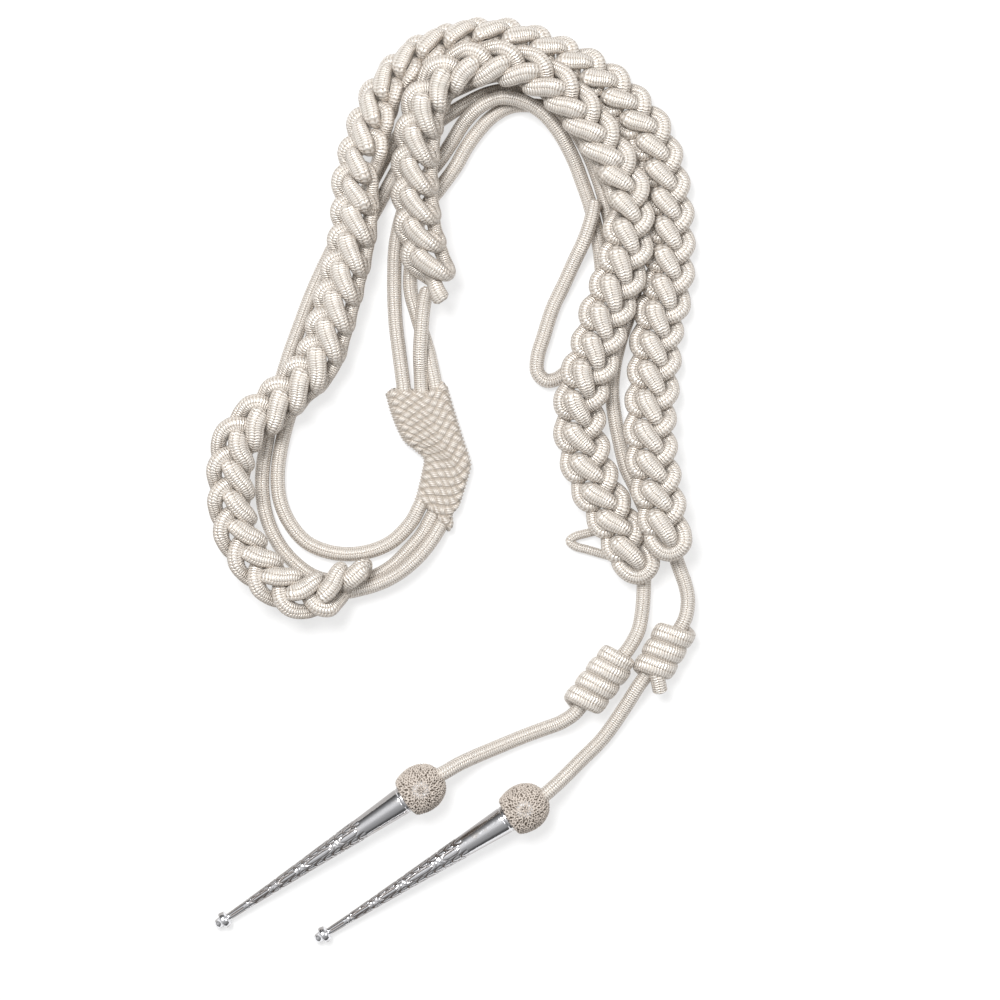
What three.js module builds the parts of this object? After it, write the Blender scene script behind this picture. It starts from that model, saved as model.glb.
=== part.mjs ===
// An aiguillette lying flat: two plaits of soft metallic cord, the plain cords of the arm loops,
// a woven shoulder tab, two button loops, and two tails with barrel knots, caps and metal points.
// Millimetres, +Z up, +Y towards the top of the plaits. The object rests on the plane Z = 0.
import * as THREE from 'three';

// Driving dimensions
const cordDiameter = 6.2;
const cordSides = 8;
const cordStep = 16;
const thinCordDiameter = 3.8;
const looseGap = 0.3;
const boreClearance = 0.5;

const stitchPitch = 12.6;
const loopHalfWidth = 8.0;
const layerHeight = 5.2;
const pressedCordDiameter = 4.2;
const pressedCordSides = 5;
const fewestSteps = 6;

const tabThickness = 8.4;
const tabEdge = 1.2;

const knotDiameter = 15.6;
const knotWraps = 4;
const knotWrapPitch = 6.2;
const knotGroove = 1.3;
const knotSides = 10;

const capDiameter = 21.5;
const capHeight = 18;
const capLip = 1.0;
const capSides = 12;

const pointLength = 99;
const pointDiameter = 11.8;
const neckDiameter = 3.1;
const collarDiameter = 6.6;
const collarLength = 2.5;
const collarPlace = 5.0;
const ballDiameter = 4.0;
const pointSides = 12;

// The round outline of a cap from its cord to its rim, as shares of its radius and its height.
const capProfile = [[0.62, 0.12], [0.85, 0.28], [1, 0.52], [0.99, 0.7], [0.9, 0.88], [0.81, 1]];
const capMiddle = 0.6;

// The taper of a point from its wide end, as shares of its radius and its length.
const pointProfile = [[1, 0], [0.98, 0.03], [0.8, 0.22], [0.56, 0.5], [0.34, 0.78]];

// One stitch of the plait, in the order in which the cord runs. The cord comes up through the loop
// before it, crosses on top as a bar, goes down through the next loop and makes a loop underneath.
// along is in pitches, across in half widths and up in layer heights.
const stitchPath = [
  { along: -0.15, across: -0.39, up: 1.0 },
  { along: 0.25, across: -0.39, up: 1.0 },
  { along: 0.75, across: 0.39, up: 1.0 },
  { along: 1.15, across: 0.39, up: 1.0 },
  { along: 1.28, across: 0.35, up: -1.0 },
  { along: 1.75, across: 0.95, up: -1.0 },
  { along: 2.30, across: 1.0, up: 0.0 },
  { along: 2.66, across: 0.50, up: 0.0 },
  { along: 2.34, across: -0.40, up: 0.0 },
  { along: 1.95, across: -1.0, up: 0.0 },
  { along: 1.50, across: -0.98, up: -1.0 },
  { along: 0.90, across: -0.39, up: -1.0 },
];
const barRows = 5;

// Where the hidden end of the cord lies that the first stitch begins with.
const firstEnd = { along: -0.4, across: 0.2, up: -1.0 };

// The run of each plait from its tab end, chosen by hand: x and y of its middle, how far it lies
// above the surface in cord diameters, how far its bars tilt to the outer side in degrees, and its
// share of the width.
const outerPlaitRun = [
  [-54, -49, 1.1, -10, 0.95], [-68, -46.5, 1.1, -20, 1], [-80, -38, 0.89, -25, 1],
  [-88, -28, 0.73, -25, 1], [-93, -16.5, 0.65, -25, 1], [-94, -3, 0.81, -20, 1],
  [-93, 14, 1.1, -15, 1], [-87, 23, 1.1, -10, 1], [-77, 31, 1.1, 0, 1],
  [-67.5, 40, 1.1, 0, 1], [-57.5, 51, 1.1, 10, 1], [-50.5, 72, 1.1, 15, 1],
  [-47, 85.5, 1.1, 15, 1], [-43, 102, 1.1, 15, 1], [-41.5, 115, 1.1, 15, 1],
  [-41, 130, 1.1, 20, 1], [-38.5, 144.5, 0.65, 25, 1], [-34.5, 158, 0.16, 35, 1],
  [-30.5, 167.5, 0, 40, 0.95], [-22.5, 177, 0, 42, 0.9], [-14, 183.5, 0, 42, 0.88],
  [-4.5, 187.5, 0, 45, 0.9], [4.5, 190, 0, 45, 0.9], [13.5, 190.5, 0, 40, 0.9],
  [24.5, 189.5, 0, 35, 0.9], [35.5, 186, 0, 30, 0.9], [45.5, 181.5, 0, 25, 0.9],
  [57.5, 175, 0, 15, 0.94], [67, 168, 0, 5, 0.94], [75.5, 159, 0, 0, 0.96],
  [83, 149.5, 0, 0, 0.96], [87.5, 138, 0, 0, 0.96], [90.5, 124.5, 0, 0, 0.96],
  [92, 110.5, 0, 0, 0.96], [92, 96, 0, 0, 0.96], [91, 82, 0, 0, 1],
  [87.5, 69, 0, 0, 1], [86, 54, 0, 0, 1], [85, 41, 0.16, 0, 1],
  [83.5, 25.5, 0.81, 0, 1], [84, 14, 1.1, 0, 1], [85.5, 2.5, 1.1, 0, 1],
  [87.5, -7.5, 1.19, 0, 0.95], [90, -21.5, 1.35, 0, 0.92], [90.8, -35.5, 1.35, 0, 0.9],
];
const innerPlaitRun = [
  [-7.5, 85, 1.1, 20, 0.95], [-11, 95, 1.1, 25, 1], [-14, 105, 1.1, 25, 1],
  [-16, 121.5, 1.1, 25, 1], [-16, 135.5, 1.21, 25, 1], [-13.8, 152, 1.77, 20, 0.98],
  [-11, 161, 2.13, 10, 0.96], [-6.5, 168, 2.16, 0, 0.94], [1, 174, 1.94, -10, 0.92],
  [14, 176.5, 1.94, -20, 0.92], [26.5, 175.5, 1.94, -20, 0.92], [38.5, 170, 1.85, -20, 0.92],
  [47.5, 162.5, 1.69, -20, 0.92], [55.5, 153, 1.53, -15, 0.94], [62.5, 143, 1.29, -10, 0.96],
  [68.5, 132.5, 1.29, 0, 0.96], [73, 121.5, 1.29, 0, 0.96], [74.5, 109, 1.29, 0, 0.96],
  [72.5, 94.5, 1.21, 0, 1], [67.5, 79, 1.13, 0, 1], [63.5, 68, 1.1, 0, 1],
  [60, 54, 1.1, 0, 1], [55.5, 42.5, 1.1, 0, 1], [53.5, 27, 0.32, 0, 1],
  [55.5, 14, 0, 0, 1], [59, 2.5, 0, 0, 1], [65, -9.5, 0, 0, 1],
  [71.5, -21.5, 0.1, 0, 0.95], [76, -31, 0.26, 0, 0.92], [78.8, -45.5, 0.26, 0, 0.9],
];

// A knot rests on its wraps. A point rests on its cap and on its collar, so it slopes to its tip.
const knotHeight = knotDiameter / 2;
const pointSlope = (capDiameter - collarDiameter) / 2
  / (capMiddle * capHeight + pointLength - collarPlace);
const wideEndHeight = capDiameter / 2 - pointSlope * (1 - capMiddle) * capHeight;

// The plain cords, each a list of hand-chosen points from the end that the tab or a plait covers.
const innerLoopRoute = [
  [-15.3, -10.5, 4.4], [-18.5, -16.5, 3.8], [-27.5, -25.5, 3.2], [-39.5, -30, 3.2],
  [-52, -30, 3.2], [-63.5, -25.5, 3.2], [-71, -17, 3.2], [-75, -7.5, 3.2], [-76, 3, 3.2],
  [-75, 13, 3.2], [-72.5, 24, 3.2], [-68.5, 37, 3.2], [-64, 53, 3.2], [-58.5, 70, 3.2],
  [-52.5, 84.5, 3.2], [-45.5, 98, 3.2], [-37, 112, 3.2], [-30, 124.5, 3.2],
  [-24.5, 134.5, 3.2], [-17.5, 145, 3.2], [-9.5, 153, 3.2], [-2, 158.5, 3.2],
  [5.5, 163, 3.2], [14, 167, 3.2], [24.5, 169, 3.2], [34.5, 169.5, 3.2], [45.5, 167, 3.2],
  [56, 157, 3.2], [63, 145.3, 3.2], [67.7, 133.8, 3.2], [72, 120, 3.2], [75.5, 108, 3.2],
  [78, 98, 3.2], [78.2, 89.5, 3.2], [77, 80.5, 3.2], [74, 70, 3.2], [70.5, 59.5, 3.2],
  [68, 47.5, 3.2], [67.5, 38, 3.2], [68.5, 29, 3.2], [70.5, 18.5, 3.2], [73.5, 6.5, 3.2],
  [77, -1, 3.2],
];
const outerLoopRoute = [
  [-9.9, -14.7, 4.4], [-14, -22, 3.5], [-20, -29, 3.2], [-28, -36.5, 3.2],
  [-38.5, -41.5, 3.2], [-49.5, -42.5, 3.2], [-60.5, -40, 3.2], [-69.5, -33.5, 3.2],
  [-76, -25.5, 3.2], [-80.5, -15.5, 3.2], [-82.5, -5.5, 3.2], [-82.5, 5.5, 3.2],
  [-80.5, 18.5, 3.2], [-78, 31.5, 3.2], [-75, 42, 3.2], [-71, 55, 3.2], [-66.5, 67.5, 3.2],
  [-62, 79.5, 3.2], [-57, 91, 3.2], [-51, 103, 3.2], [-43, 116.5, 3.2], [-35.5, 129.5, 3.2],
  [-29.5, 140.5, 3.2], [-22.5, 151, 3.2], [-13.5, 160, 3.2], [-5.5, 165.5, 3.2],
  [3.5, 170, 3.2], [13.5, 174, 3.2], [25, 176, 3.2], [36, 176, 3.2],
];
const outerTopRoute = [
  [-22, 41.8, 4.4], [-24, 57, 3.5], [-25.5, 70, 3.2], [-26, 89, 3.2], [-25, 104.5, 3.2],
  [-21, 119, 3.2], [-13.5, 130, 3.2], [-6.5, 138.5, 3.2], [-1.5, 146, 3.2], [4, 154.5, 4.6],
  [11, 161, 8.6], [19.5, 164.5, 9.8], [29, 163, 9.8], [37.5, 158, 9.8], [44.5, 150, 8.6],
  [50.5, 139.5, 5], [54.5, 129.5, 3.2], [58.5, 117.5, 3.2], [62, 101, 3.2], [63.5, 86.5, 3.2],
];
const innerTopRoute = [
  [-5.5, 44.2, 4.4], [-10.5, 56.5, 3.4], [-16, 71, 3.2], [-19, 83, 3.2], [-18.5, 96, 3.2],
  [-17, 107, 3.2], [-13, 117.5, 3.2], [-6, 127, 3.2], [0.5, 136, 3.2], [5, 144, 3.2],
  [10.5, 151.5, 3.2], [16.5, 157.5, 3.2], [24, 161.5, 3.2], [33, 162, 3.2], [42, 160.3, 3.2],
  [50, 153, 3.2], [56.8, 142.3, 3.2], [61.3, 131.3, 3.2], [65, 119, 3.2], [68.5, 102, 3.2],
  [70, 87, 3.2],
];
const innerLeadRoute = [
  [-12, 80.5, 9.6], [-13, 74.5, 9.6], [-14.3, 64, 9.6], [-14.8, 55, 8], [-14.6, 47.5, 5.2],
  [-14.3, 40.7, 4.3],
];
const outerLeadRoute = [
  [-4.5, -19.0, 4.4], [-9, -26.5, 6], [-16, -34, 8], [-25.5, -41, 8.6], [-36, -45.5, 8.6],
  [-46, -47, 8.8],
];
const sideLoopRoute = [
  [60, 121, 9.8], [58.6, 113.5, 9.8], [55.5, 104, 8.8], [51.5, 95.5, 5.5], [46.5, 84.5, 3.4],
  [42, 75, 3.3], [38, 62.5, 3.3], [35.5, 54, 3.3], [35.5, 47.5, 3.3], [39, 44, 3.3],
  [43.5, 44.5, 3.3], [48, 47.5, 3.3], [54, 50, 3.3], [58, 52, 3.3],
];
const smallLoopRoute = [
  [59.2, -20.3, 2], [55.5, -21.8, 2], [51.5, -23.5, 2], [49, -27, 2], [51.5, -30.5, 2],
  [58, -32, 2], [64.5, -31.5, 2],
];
const outerTailRoute = [
  [93.6, -23.5, 6.6], [94.8, -30.5, 6.2], [97.5, -37, 5.4], [100, -43.5, 5.4],
  [101.3, -50, 6.4], [99.7, -57.7, knotHeight], [96.2, -62.5, knotHeight],
  [88.8, -72.7, knotHeight], [81.4, -82.9, knotHeight], [78.5, -86.9, knotHeight],
  [72, -97.5, 4.6], [63.5, -109.5, 3.2], [53.5, -119.5, 4.6], [45.5, -127, 9],
  [39.9, -131.8, 11.8],
];
const innerTailRoute = [
  [81.2, -39.2, 3.4], [81, -46, 3.6], [80.3, -55, 4.6], [78.4, -63.5, 7],
  [74.2, -71, knotHeight], [70.4, -75.6, knotHeight], [62.4, -85.2, knotHeight],
  [54.4, -94.8, knotHeight], [51.2, -98.6, knotHeight], [45.5, -102.5, 6.2],
  [38, -105.5, 3.8], [30, -108.5, 3.3], [21.5, -112, 3.3], [8, -117.5, 5.4],
  [1.5, -120.3, 9], [-4.5, -123.6, 11.8],
];

// The outline of the woven tab, bent at its middle, from the end that the loop cords enter.
const tabOutline = [
  [-29, 38.5], [-25, 40.5], [-17.5, 39.5], [-11.5, 39], [-7.5, 42.5],
  [-3.5, 42], [-1.5, 33.5], [3, 21.5], [6.5, 7.5], [4, -3.5],
  [0, -12], [-1.5, -20.5], [-17.5, -8], [-15.5, -2],
  [-13, 10], [-21.5, 18.5], [-27, 30],
];

// Where the barrel knots lie, each from its middle towards the plait, and where each point lies from
// its wide end to its tip.
const knots = {
  outer: { middle: [88.8, -72.7], towards: [96.2, -62.5] },
  inner: { middle: [62.4, -85.2], towards: [70.4, -75.6] },
};
const points = {
  outer: { wideEnd: [23.2, -142.8], tip: [-60.5, -196.5] },
  inner: { wideEnd: [-20.8, -134.7], tip: [-102, -189.5] },
};

const silverCord = new THREE.MeshStandardMaterial({
  name: 'silver_cord', color: 0xd8cfc4, roughness: 0.62, metalness: 0.25,
});
const wovenSilver = new THREE.MeshStandardMaterial({
  name: 'woven_silver', color: 0xddd6cb, roughness: 0.55, metalness: 0.3,
});
const crochetedCord = new THREE.MeshStandardMaterial({
  name: 'crocheted_cord', color: 0xcdbfa9, roughness: 0.8, metalness: 0.1,
});
const chasedMetal = new THREE.MeshStandardMaterial({
  name: 'chased_metal', color: 0xd9dadd, roughness: 0.18, metalness: 1.0,
});

// A curve whose evenly spaced points are exactly the points that it was given.
class PointPath extends THREE.Curve {
  constructor(corners) {
    super();
    this.corners = corners;
  }

  getPoint(t, target = new THREE.Vector3()) {
    const place = t * (this.corners.length - 1);
    const first = Math.min(Math.floor(place), this.corners.length - 2);
    return target.lerpVectors(this.corners[first], this.corners[first + 1], place - first);
  }

  getUtoTmapping(u) {
    return u;
  }
}

function smoothCurve(route) {
  const places = route.map(([x, y, z]) => new THREE.Vector3(x, y, z));
  return new THREE.CatmullRomCurve3(places, false, 'centripetal');
}

function roundSection(diameter, sides) {
  const section = new THREE.Shape();
  for (let side = 0; side < sides; side += 1) {
    const angle = (2 * Math.PI * side) / sides;
    const x = (diameter / 2) * Math.cos(angle);
    const y = (diameter / 2) * Math.sin(angle);
    if (side === 0) section.moveTo(x, y);
    else section.lineTo(x, y);
  }
  section.closePath();
  return section;
}

function cordGeometry(route, diameter) {
  const curve = smoothCurve(route);
  const steps = Math.max(fewestSteps, Math.round(curve.getLength() / cordStep));
  return new THREE.ExtrudeGeometry(roundSection(diameter, cordSides), {
    steps, bevelEnabled: false, extrudePath: curve,
  });
}

// The lowest point of a stitch below its middle when its bars tilt by an angle.
function restingHeight(tilt) {
  const depths = stitchPath.map((row) => (
    row.across * loopHalfWidth * Math.sin(tilt) - row.up * layerHeight * Math.cos(tilt)));
  return Math.max(...depths) + pressedCordDiameter / 2;
}

function plaitCorners(run) {
  const middle = smoothCurve(run.map(([x, y]) => [x, y, 0]));
  const length = middle.getLength();
  const stitches = Math.round(length / stitchPitch);
  const pitch = length / stitches;

  function corner(stitch, row) {
    const along = (stitch + row.along) * pitch;
    const share = middle.getUtoTmapping(THREE.MathUtils.clamp(along / length, 0, 1));
    const place = share * (run.length - 1);
    const before = run[Math.min(Math.floor(place), run.length - 2)];
    const after = run[Math.min(Math.floor(place) + 1, run.length - 1)];
    const mix = Math.min(place - Math.floor(place), 1);
    const [lift, tiltDegrees, width] = [2, 3, 4].map((column) => (
      THREE.MathUtils.lerp(before[column], after[column], mix)));
    const tilt = THREE.MathUtils.degToRad(tiltDegrees);

    const forward = middle.getTangent(share);
    const beyond = along - THREE.MathUtils.clamp(along, 0, length);
    const outward = new THREE.Vector3(-forward.y, forward.x, 0);
    const upward = new THREE.Vector3(0, 0, 1);
    const across = row.across * loopHalfWidth * width;
    const up = row.up * layerHeight;
    return middle.getPoint(share)
      .addScaledVector(forward, beyond)
      .addScaledVector(outward, across * Math.cos(tilt) + up * Math.sin(tilt))
      .addScaledVector(upward, up * Math.cos(tilt) - across * Math.sin(tilt))
      .addScaledVector(upward, restingHeight(tilt) + lift * cordDiameter);
  }

  const corners = stitchPath.slice(barRows - 1).map((row) => corner(-1, row));
  corners.unshift(corner(-1, firstEnd));
  for (let stitch = 0; stitch < stitches - 2; stitch += 1) {
    stitchPath.forEach((row) => corners.push(corner(stitch, row)));
  }
  stitchPath.slice(0, barRows).forEach((row) => corners.push(corner(stitches - 2, row)));
  return corners;
}

function plaitGeometry(run) {
  const corners = plaitCorners(run);
  return new THREE.ExtrudeGeometry(roundSection(pressedCordDiameter, pressedCordSides), {
    steps: corners.length - 1, bevelEnabled: false, extrudePath: new PointPath(corners),
  });
}

function tabGeometry() {
  const outline = new THREE.Shape(tabOutline.map(([x, y]) => new THREE.Vector2(x, y)));
  const geometry = new THREE.ExtrudeGeometry(outline, {
    depth: tabThickness - 2 * tabEdge,
    bevelThickness: tabEdge,
    bevelSize: tabEdge,
    bevelOffset: -tabEdge,
    bevelSegments: 1,
  });
  geometry.translate(0, 0, tabEdge);
  return geometry;
}

// A barrel of wraps, ribbed on the outside and open along the middle for the tail.
function knotGeometry() {
  const bore = cordDiameter / 2 + boreClearance;
  const crest = knotDiameter / 2;
  const start = (-knotWraps * knotWrapPitch) / 2;
  const profile = [new THREE.Vector2(bore, start)];
  for (let wrap = 0; wrap < knotWraps; wrap += 1) {
    const from = start + wrap * knotWrapPitch;
    profile.push(new THREE.Vector2(crest - knotGroove, from));
    profile.push(new THREE.Vector2(crest, from + knotWrapPitch / 3));
    profile.push(new THREE.Vector2(crest, from + (2 * knotWrapPitch) / 3));
  }
  profile.push(new THREE.Vector2(crest - knotGroove, -start));
  profile.push(new THREE.Vector2(bore, -start));
  profile.push(profile[0].clone());
  return new THREE.LatheGeometry(profile, knotSides);
}

function capGeometry() {
  const profile = [[0, 0], [cordDiameter / 2 + capLip, 0]];
  capProfile.forEach(([radius, height]) => {
    profile.push([(radius * capDiameter) / 2, height * capHeight]);
  });
  profile.push([0, capHeight]);
  return new THREE.LatheGeometry(profile.map(([r, h]) => new THREE.Vector2(r, h)), capSides);
}

// A tapered metal point from its wide end to its round tip, with a collar near the tip.
function pointGeometry() {
  const profile = [[0, 0]];
  pointProfile.forEach(([radius, length]) => {
    profile.push([(radius * pointDiameter) / 2, length * pointLength]);
  });
  const collarEnd = pointLength - collarPlace;
  const collar = collarDiameter / 2;
  const ball = ballDiameter / 2;
  profile.push(
    [neckDiameter / 2, collarEnd - 1.5 * collarLength],
    [collar, collarEnd - collarLength],
    [collar, collarEnd],
    [0.8 * ball, pointLength - ballDiameter],
    [ball, pointLength - ball],
    [0.75 * ball, pointLength - 0.3 * ball],
    [0, pointLength],
  );
  return new THREE.LatheGeometry(profile.map(([r, h]) => new THREE.Vector2(r, h)), pointSides);
}

const aiguillette = new THREE.Group();
const laidOut = new THREE.Group();
aiguillette.add(laidOut);

function addPiece(name, geometry, material, parent = laidOut) {
  const piece = new THREE.Mesh(geometry, material);
  piece.name = name;
  parent.add(piece);
  return piece;
}

// Turns a piece made along its own Y axis to run from one place towards another.
function aim(object, from, towards) {
  const start = new THREE.Vector3(...from);
  const direction = new THREE.Vector3(...towards).sub(start).normalize();
  object.position.copy(start);
  object.quaternion.setFromUnitVectors(new THREE.Vector3(0, 1, 0), direction);
}

addPiece('plait_outer', plaitGeometry(outerPlaitRun), silverCord);
addPiece('plait_inner', plaitGeometry(innerPlaitRun), silverCord);
addPiece('loop_cord_inner', cordGeometry(innerLoopRoute, cordDiameter), silverCord);
addPiece('loop_cord_outer', cordGeometry(outerLoopRoute, cordDiameter), silverCord);
addPiece('top_cord_outer', cordGeometry(outerTopRoute, cordDiameter), silverCord);
addPiece('top_cord_inner', cordGeometry(innerTopRoute, cordDiameter), silverCord);
addPiece('plait_inner_lead', cordGeometry(innerLeadRoute, cordDiameter), silverCord);
addPiece('plait_outer_lead', cordGeometry(outerLeadRoute, cordDiameter), silverCord);
addPiece('side_button_loop', cordGeometry(sideLoopRoute, cordDiameter), silverCord);
addPiece('small_button_loop', cordGeometry(smallLoopRoute, thinCordDiameter), silverCord);
addPiece('tail_outer', cordGeometry(outerTailRoute, cordDiameter), silverCord);
addPiece('tail_inner', cordGeometry(innerTailRoute, cordDiameter), silverCord);
addPiece('shoulder_tab', tabGeometry(), wovenSilver);

Object.entries(knots).forEach(([side, { middle, towards }]) => {
  const knot = addPiece(`knot_${side}`, knotGeometry(), silverCord);
  aim(knot, [...middle, knotHeight], [...towards, knotHeight]);
});

Object.entries(points).forEach(([side, { wideEnd, tip }]) => {
  const fitting = new THREE.Group();
  aim(fitting, [...wideEnd, wideEndHeight], [...tip, wideEndHeight - pointSlope * pointLength]);
  addPiece(`point_${side}`, pointGeometry(), chasedMetal, fitting);
  const cap = addPiece(`cap_${side}`, capGeometry(), crochetedCord, fitting);
  cap.position.y = -capHeight - looseGap;
  laidOut.add(fitting);
});

// The frame's origin is under the middle of the object, on the surface that it lies on.
const extent = new THREE.Box3().setFromObject(laidOut, true);
const middleOfExtent = extent.getCenter(new THREE.Vector3());
laidOut.position.set(-middleOfExtent.x, -middleOfExtent.y, -extent.min.z);

export default aiguillette;
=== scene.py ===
import math
import bpy
import numpy as np
from mathutils import Matrix, Vector


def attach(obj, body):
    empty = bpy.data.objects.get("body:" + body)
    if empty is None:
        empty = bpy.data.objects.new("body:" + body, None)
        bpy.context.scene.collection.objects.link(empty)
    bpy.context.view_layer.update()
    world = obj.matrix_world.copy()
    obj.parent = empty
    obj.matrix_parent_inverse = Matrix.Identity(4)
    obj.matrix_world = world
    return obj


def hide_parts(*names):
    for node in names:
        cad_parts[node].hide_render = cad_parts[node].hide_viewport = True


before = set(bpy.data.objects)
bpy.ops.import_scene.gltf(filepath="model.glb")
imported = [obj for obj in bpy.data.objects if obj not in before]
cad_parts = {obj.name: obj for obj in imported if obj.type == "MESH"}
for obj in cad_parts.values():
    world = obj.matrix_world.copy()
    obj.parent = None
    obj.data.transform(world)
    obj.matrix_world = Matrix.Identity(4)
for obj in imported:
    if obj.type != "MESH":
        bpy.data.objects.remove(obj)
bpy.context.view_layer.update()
bpy.ops.object.select_all(action="DESELECT")

# The table top and the light. The object lies on a white board, lit through from below, so that its
# shadows stay faint. A camera looks straight down on it, between two large soft lamps.
eye_height = 1.4
shown_width = 0.430
film_width = 36
picture_middle = (0.0201, -0.0077)
board_size = 6
board_top = -0.0002
board_grey = 0.35
board_glow = 0.62

bpy.ops.mesh.primitive_plane_add(size=board_size, location=(0, 0, board_top))
board = bpy.context.object
board.name = "board"
board_paint = bpy.data.materials.new("board_paint")
board_paint.use_nodes = True
board_shader = board_paint.node_tree.nodes["Principled BSDF"]
board_shader.inputs["Base Color"].default_value = (board_grey, board_grey, board_grey, 1)
board_shader.inputs["Roughness"].default_value = 0.9
board_shader.inputs["Emission Color"].default_value = (1, 1, 1, 1)
board_shader.inputs["Emission Strength"].default_value = board_glow
board.data.materials.append(board_paint)

bpy.ops.object.camera_add(location=(picture_middle[0], picture_middle[1], eye_height))
camera = bpy.context.object
camera.data.sensor_width = film_width
camera.data.lens = film_width * eye_height / shown_width
camera.data.clip_end = 20
bpy.context.scene.camera = camera

lamp_size = 0.6
# name, place and power in watts
lamps = [("lamp_over", (-0.35, 0.5, 1.4), 23), ("lamp_right", (0.9, 0.2, 1.0), 4)]
for lamp_name, place, power in lamps:
    bpy.ops.object.light_add(type="AREA", location=place)
    lamp = bpy.context.object
    lamp.name = lamp_name
    lamp.data.size = lamp_size
    lamp.data.energy = power
    lamp.rotation_euler = Vector(place).to_track_quat("Z", "Y").to_euler()

# The studio round it: broad white cloths with grey and dark gaps, which the bright metal reflects.
# Their tones run across the metal points, from the right side of a point to its left side.
left_of_points = (-0.545, 0.838, 0)
studio = bpy.data.worlds.new("studio")
studio.use_nodes = True
studio_nodes = studio.node_tree.nodes
studio_links = studio.node_tree.links
looking = studio_nodes.new("ShaderNodeTexCoord")
across_points = studio_nodes.new("ShaderNodeVectorMath")
across_points.operation = "DOT_PRODUCT"
across_points.inputs[1].default_value = left_of_points
studio_links.new(looking.outputs["Generated"], across_points.inputs[0])
in_range = studio_nodes.new("ShaderNodeMapRange")
in_range.inputs["From Min"].default_value = -1
studio_links.new(across_points.outputs["Value"], in_range.inputs["Value"])
cloths = studio_nodes.new("ShaderNodeValToRGB")
cloth_tones = [(0.0, 0.14), (0.05, 0.22), (0.10, 0.45), (0.25, 0.50), (0.40, 0.62),
               (0.48, 0.88), (0.62, 1.0), (0.76, 0.90), (0.88, 0.45), (1.0, 0.28)]
while len(cloths.color_ramp.elements) < len(cloth_tones):
    cloths.color_ramp.elements.new(0.5)
for element, (place, tone) in zip(cloths.color_ramp.elements, cloth_tones):
    element.position = place
    element.color = (tone, tone, tone, 1)
studio_links.new(in_range.outputs["Result"], cloths.inputs["Fac"])
studio_links.new(cloths.outputs["Color"], studio_nodes["Background"].inputs["Color"])
looking_parts = studio_nodes.new("ShaderNodeSeparateXYZ")
studio_links.new(looking.outputs["Generated"], looking_parts.inputs[0])
darker_low = studio_nodes.new("ShaderNodeMapRange")
darker_low.inputs["To Min"].default_value = 0.3
darker_low.inputs["To Max"].default_value = 0.78
studio_links.new(looking_parts.outputs["Z"], darker_low.inputs["Value"])
studio_links.new(darker_low.outputs["Result"], studio_nodes["Background"].inputs["Strength"])
bpy.context.scene.world = studio
bpy.context.scene.view_settings.view_transform = "Standard"


# The plain cords of the arm loops. Each is a soft knitted tube of metal-wound thread over a core,
# about 6 mm thick. They come out of the woven tab and run beside and under the two plaits, and one
# goes on under the long plait to its lower end.
cord_thickness = 0.0062
cord_sides = 16


def lengths_along(line):
    """The length of the line up to each of its places."""
    return np.append(0, np.cumsum(np.linalg.norm(np.diff(line, axis=0), axis=1)))


def smooth_line(points, spacing):
    """Even places on a smooth curve through the points, and where each lies in the list."""
    points = np.array(points, float)
    padded = np.vstack([2 * points[0] - points[1], points, 2 * points[-1] - points[-2]])
    steps_a_span = 24
    steps = np.linspace(0, 1, steps_a_span, endpoint=False)[:, None]
    places = []
    spots = []
    for i in range(len(points) - 1):
        a, b, c, d = padded[i:i + 4]
        ab, bc, cd = [max(np.linalg.norm(end - start), 1e-9) ** 0.5
                      for start, end in ((a, b), (b, c), (c, d))]
        leave = ((b - a) / ab - (c - a) / (ab + bc) + (c - b) / bc) * bc
        arrive = ((c - b) / bc - (d - b) / (bc + cd) + (d - c) / cd) * bc
        bend = -3 * b + 3 * c - 2 * leave - arrive
        close = 2 * b - 2 * c + leave + arrive
        places.append(b + leave * steps + bend * steps ** 2 + close * steps ** 3)
        spots.append(i + steps[:, 0])
    places = np.vstack(places + [points[-1:]])
    spots = np.append(np.concatenate(spots), len(points) - 1)
    lengths = lengths_along(places)
    count = max(int(round(lengths[-1] / spacing)), 4)
    even = np.linspace(0, lengths[-1], count + 1)
    line = np.stack([np.interp(even, lengths, places[:, k]) for k in range(places.shape[1])], 1)
    return line, np.interp(even, lengths, spots), float(lengths[-1])


def unit(vectors):
    return vectors / np.maximum(np.linalg.norm(vectors, axis=1, keepdims=True), 1e-12)


def carried_sides(line):
    """A direction across the line at each place, first up, carried along it without twist."""
    tangents = unit(np.gradient(line, axis=0))
    side = np.array([0, 0, 1.0])
    sides = []
    for tangent in tangents:
        side = side - tangent * side.dot(tangent)
        side = side / np.linalg.norm(side)
        sides.append(side)
    return np.array(sides)


def placed(name, mesh):
    """A new object with the mesh, in the scene."""
    piece = bpy.data.objects.new(name, mesh)
    bpy.context.collection.objects.link(piece)
    return piece


def cover(mesh, material):
    """Shades the mesh smooth and gives it its material."""
    mesh.polygons.foreach_set("use_smooth", [True] * len(mesh.polygons))
    mesh.materials.append(material)


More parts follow.
